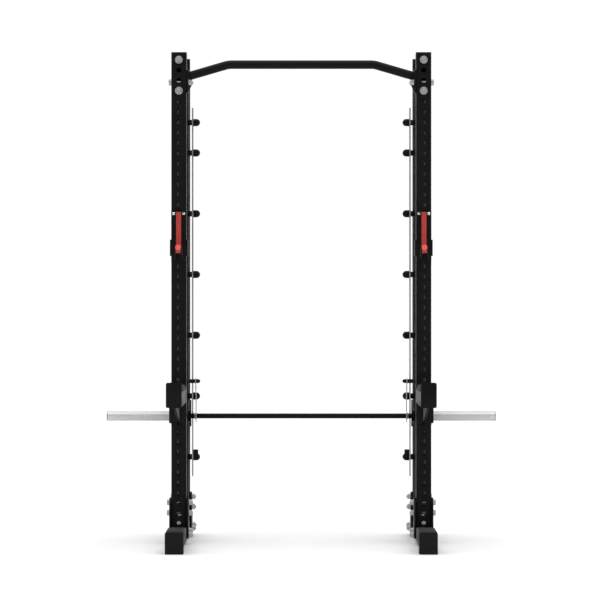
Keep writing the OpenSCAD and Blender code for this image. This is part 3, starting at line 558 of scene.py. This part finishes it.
def sleeveEnd(side, sign):
    low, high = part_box("sleeve_cap_" + side)
    inner, outer = (low.x, high.x) if sign > 0 else (high.x, low.x)
    radius = (high.z - low.z) / 2
    depth = abs(outer - inner)
    look = capLook
    face = depth - look["faceSink"]
    steps = [(0.0, look["axisHole"]), (0, look["plug"]), (depth / 2, look["plug"]),
             (depth / 2, radius - look["edge"]), (depth / 2 + look["edge"], radius),
             (depth - look["rimStart"], radius),
             (depth - look["dome"], radius - look["domeDrop"]),
             (face, radius * look["ringOuter"]),
             (face - look["ringGroove"], radius * look["grooveOuter"]),
             (face - look["ringGroove"], radius * look["grooveInner"]),
             (depth - look["crownSink"], radius * look["crownOuter"]),
             (depth, radius * look["crownInner"]), (depth, look["axisHole"])]
    piece = turnedPiece("sleeveEnd" + side.title(), [(inner + sign * x, r) for x, r in steps],
                        barY, barZ)
    capEnds(piece)
    return finishPiece(piece, finishes["zinc_steel"], side + "_sleeve",
                       ["sleeve_cap_" + side])


gripLook = {"ridges": 6, "ridgeHeight": 0.0007, "ridgeStart": 0.002, "ridgeUp": 0.25,
            "ridgeDown": 0.6, "ridgeEnd": 0.85, "endRound": 5, "firstAngle": 4,
            "plainRun": 0.014, "flangeFoot": 0.009, "flange": 0.007, "chamfer": 0.001,
            "axisHole": 0.0008, "sides": 48}


def hookGrip(side, sign):
    low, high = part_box("hook_handle_" + side)
    tip, root = (low.x, high.x) if sign > 0 else (high.x, low.x)
    centerY, centerZ = (low.y + high.y) / 2, (low.z + high.z) / 2
    radius = (high.z - low.z) / 2
    length = abs(root - tip)
    look = gripLook
    body = radius - look["ridgeHeight"]
    steps = []
    for index in range(look["endRound"] + 1):
        turned = (90 - look["firstAngle"]) * index / look["endRound"]
        angle = math.radians(look["firstAngle"] + turned)
        steps.append((body - body * math.cos(angle), body * math.sin(angle)))
    run = (length - body - look["plainRun"]) / look["ridges"]
    for index in range(look["ridges"]):
        start = body + look["ridgeStart"] + index * run
        steps += [(start, body), (start + run * look["ridgeUp"], radius),
                  (start + run * look["ridgeDown"], radius),
                  (start + run * look["ridgeEnd"], body)]
    steps += [(length - look["flangeFoot"], body), (length - look["flange"], radius),
              (length - look["chamfer"], radius), (length, radius - look["chamfer"]),
              (length, look["axisHole"])]
    profile = [(tip + sign * x, max(r, look["axisHole"])) for x, r in steps]
    piece = turnedPiece("hookGrip" + side.title(), profile, centerY, centerZ, look["sides"])
    capEnds(piece)
    return finishPiece(piece, finishes["black_rubber"], "guided_bar",
                       ["hook_handle_" + side])


for side, sign in sides.items():
    plateSleeve(side, sign)
    sleeveEnd(side, sign)
    hookGrip(side, sign)
print("sleeves, caps and hook grips turned")


# ---------- bent pull-up bar ----------

pullLook = {"kink": 0.359, "fall": 0.0571, "bendRadius": 0.11, "bendSteps": 10, "sides": 64,
            "weld": 0.002, "turnSign": -1}


def moveRing(x, z):
    bpy.ops.mesh.extrude_region_move(TRANSFORM_OT_translate={"value": (x, 0, z)})


def turnRing(angle, center):
    bpy.ops.mesh.extrude_region_move(TRANSFORM_OT_translate={"value": (0, 0, 0)})
    bpy.ops.transform.rotate(value=angle, orient_axis="Y", center_override=center)


def pullUpBar():
    # one ring drawn from the left end plate to the right, turned round both bends
    look = pullLook
    low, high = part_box("pull_up_bar")
    radius = (high.y - low.y) / 2
    topZ = high.z - radius
    centerY = (low.y + high.y) / 2
    fall = math.atan2(look["fall"], high.x - look["kink"])
    reach = look["bendRadius"] * math.tan(fall / 2)
    bendX = look["kink"] - reach
    bendZ = topZ - look["bendRadius"]
    slope = (high.x - look["kink"] + look["weld"]) / math.cos(fall) - reach
    dx, dz = slope * math.cos(fall), slope * math.sin(fall)
    startX = -(bendX + look["bendRadius"] * math.sin(fall) + dx)
    startZ = bendZ + look["bendRadius"] * math.cos(fall) - dz
    clearSelection()
    bpy.ops.mesh.primitive_circle_add(vertices=look["sides"], radius=radius, fill_type="NOTHING",
                                      location=(startX, centerY, startZ),
                                      rotation=(0, math.pi / 2 - fall, 0))
    piece = bpy.context.object
    piece.name = "pullUpTube"
    applyPlace(piece)
    bpy.ops.object.mode_set(mode="EDIT")
    bpy.ops.mesh.select_all(action="SELECT")
    step = fall / look["bendSteps"]
    moveRing(dx, dz)
    for index in range(look["bendSteps"]):
        turnRing(look["turnSign"] * step, (-bendX, centerY, bendZ))
    moveRing(2 * bendX, 0)
    for index in range(look["bendSteps"]):
        turnRing(look["turnSign"] * step, (bendX, centerY, bendZ))
    moveRing(dx, -dz)
    bpy.ops.object.mode_set(mode="OBJECT")
    capEnds(piece)
    smoothEdges(piece, 40)
    return finishPiece(piece, finishes["black_paint"], "cage", ["pull_up_bar"])


pullUpBar()
print("pull-up bar bent")


# ---------- camera, light and floor ----------

# shifts are shares of the frame's width
viewLook = {"distance": 15.3, "height": 1.236, "lens": 186.7, "sensor": 36, "farEnd": 100,
            "shiftX": -1.3 / 600, "shiftY": -6.7 / 600}
# the room is dim in front of the cage and white behind it
roomLook = {"front": 0.35, "back": 1.02, "fadeStart": -0.7, "fadeEnd": 0.15, "key": 30,
            "keyX": 4.5, "keyY": -4.0, "keyZ": 4.5, "keySize": (3, 3), "keyAim": (0, 0, 1.2),
            "sun": 1.5, "sunTilt": 18, "sunSoft": 70}


def addCamera():
    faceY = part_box("front_upright_left")[0].y
    clearSelection()
    bpy.ops.object.camera_add(
        location=(0, faceY - viewLook["distance"], viewLook["height"]),
        rotation=(math.pi / 2, 0, 0))
    camera = bpy.context.object
    camera.data.lens = viewLook["lens"]
    camera.data.sensor_width = viewLook["sensor"]
    camera.data.shift_x = viewLook["shiftX"]
    camera.data.shift_y = viewLook["shiftY"]
    camera.data.clip_end = viewLook["farEnd"]
    bpy.context.scene.camera = camera


def addLight(name, place, target, size, power):
    clearSelection()
    bpy.ops.object.light_add(type="AREA", location=place)
    light = bpy.context.object
    light.name = name
    light.data.shape = "RECTANGLE"
    light.data.size, light.data.size_y = size
    light.data.energy = power
    light.rotation_euler = (Vector(target) - Vector(place)).to_track_quat("-Z", "Y").to_euler()


def addStudio():
    clearSelection()
    bpy.ops.mesh.primitive_grid_add(x_subdivisions=4, y_subdivisions=4, size=60,
                                    location=(0, 0, 0))
    floor = bpy.context.object
    floor.name = "studioFloor"
    material, tree, shader = newMaterial("paleFloor")
    soft = objectNoise(tree, 0.6, 2.0)
    tree.links.new(mixColor(tree, soft, (0.86, 0.86, 0.86), (0.9, 0.9, 0.9)),
                   shader.inputs["Base Color"])
    shader.inputs["Roughness"].default_value = 0.8
    floor.data.materials.append(material)
    world = bpy.data.worlds.new("paleRoom")
    world.use_nodes = True
    tree = world.node_tree
    place = tree.nodes.new("ShaderNodeTexCoord")
    split = tree.nodes.new("ShaderNodeSeparateXYZ")
    tree.links.new(place.outputs["Generated"], split.inputs[0])
    blend = tree.nodes.new("ShaderNodeMapRange")
    blend.interpolation_type = "SMOOTHSTEP"
    for label, value in (("From Min", roomLook["fadeStart"]), ("From Max", roomLook["fadeEnd"]),
                         ("To Min", roomLook["front"]), ("To Max", roomLook["back"])):
        blend.inputs[label].default_value = value
    tree.links.new(split.outputs["Y"], blend.inputs["Value"])
    tree.links.new(blend.outputs["Result"], tree.nodes["Background"].inputs["Strength"])
    tree.nodes["Background"].inputs["Color"].default_value = (1, 1, 1, 1)
    bpy.context.scene.world = world
    bpy.context.scene.view_settings.view_transform = "Standard"
    for side, sign in sides.items():
        place = (sign * roomLook["keyX"], roomLook["keyY"], roomLook["keyZ"])
        addLight("key" + side.title(), place, roomLook["keyAim"], roomLook["keySize"],
                 roomLook["key"])
    clearSelection()
    bpy.ops.object.light_add(type="SUN", location=(0, -2, 6),
                             rotation=(math.radians(roomLook["sunTilt"]), 0, 0))
    sun = bpy.context.object
    sun.name = "topSoft"
    sun.data.energy = roomLook["sun"]
    sun.data.angle = math.radians(roomLook["sunSoft"])


addCamera()
addStudio()
print("camera and studio ready")
